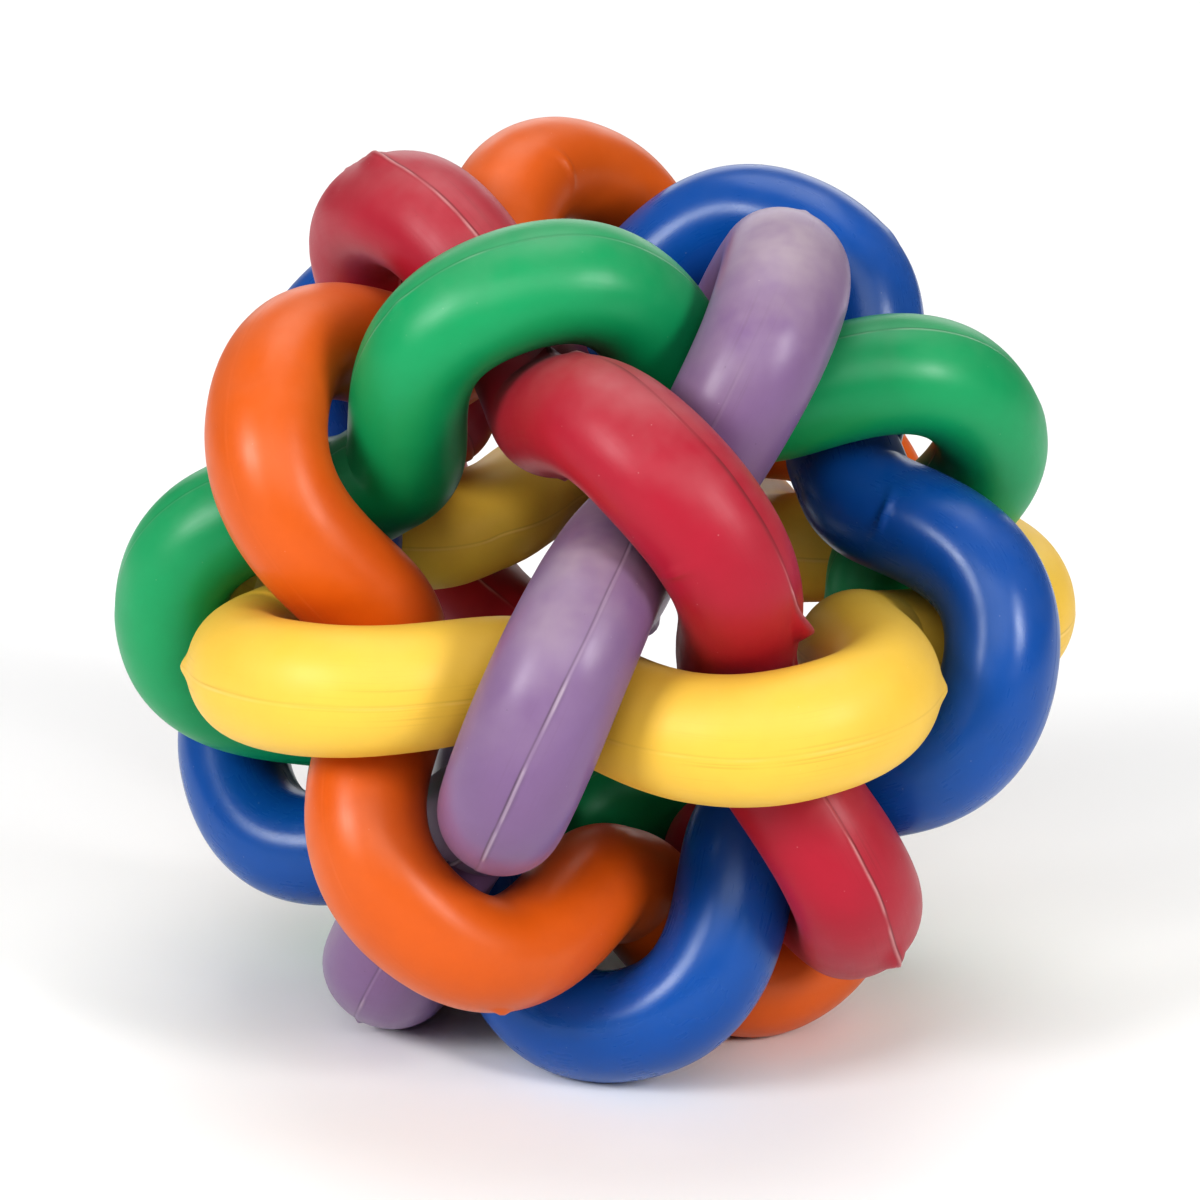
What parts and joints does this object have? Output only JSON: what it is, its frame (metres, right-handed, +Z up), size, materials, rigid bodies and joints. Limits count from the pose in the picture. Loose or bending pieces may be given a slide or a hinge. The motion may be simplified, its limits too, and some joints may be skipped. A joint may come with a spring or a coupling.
{
  "type": "woven rubber loop ball",
  "caption": "Hollow ball of closed rubber loops in different colours, each bent into lobes and woven over and under the others.",
  "frame": {"origin": "middle of the ball's footprint, on the surface that it stands on", "axes": "+Z up, along the level yellow loop's axis; +X towards one lobe of the yellow loop"},
  "size_m": [0.1, 0.097, 0.0901],
  "materials": {
    "yellow": "satin moulded rubber, yellow",
    "orange": "satin moulded rubber, orange",
    "crimson": "satin moulded rubber, crimson",
    "green": "satin moulded rubber, green",
    "purple": "satin moulded rubber, purple",
    "blue": "satin moulded rubber, blue"
  },
  "bodies": {
    "yellow": {"yellow_loop": "yellow"},
    "orange": {"orange_loop": "orange"},
    "crimson": {"crimson_loop": "crimson"},
    "green": {"green_loop": "green"},
    "purple": {"purple_loop": "purple"},
    "blue": {"blue_loop": "blue"}
  },
  "joints": [
    {"name": "orange_turn", "type": "hinge", "parent": "yellow", "child": "orange", "pos_m": [0, 0, 0.04406], "axis": [0.5257, -0.7236, 0.4472], "range_deg": [-1, 1], "stiffness_Nm_per_rad": 5},
    {"name": "crimson_turn", "type": "hinge", "parent": "yellow", "child": "crimson", "pos_m": [0, 0, 0.04406], "axis": [0.8507, 0.2764, 0.4472], "range_deg": [-1, 1], "stiffness_Nm_per_rad": 5},
    {"name": "green_turn", "type": "hinge", "parent": "yellow", "child": "green", "pos_m": [0, 0, 0.04406], "axis": [0, 0.8944, 0.4472], "range_deg": [-1, 1], "stiffness_Nm_per_rad": 5},
    {"name": "purple_turn", "type": "hinge", "parent": "yellow", "child": "purple", "pos_m": [0, 0, 0.04406], "axis": [-0.8507, 0.2764, 0.4472], "range_deg": [-1, 1], "stiffness_Nm_per_rad": 5},
    {"name": "blue_turn", "type": "hinge", "parent": "yellow", "child": "blue", "pos_m": [0, 0, 0.04406], "axis": [-0.5257, -0.7236, 0.4472], "range_deg": [-1, 1], "stiffness_Nm_per_rad": 5}
  ]
}
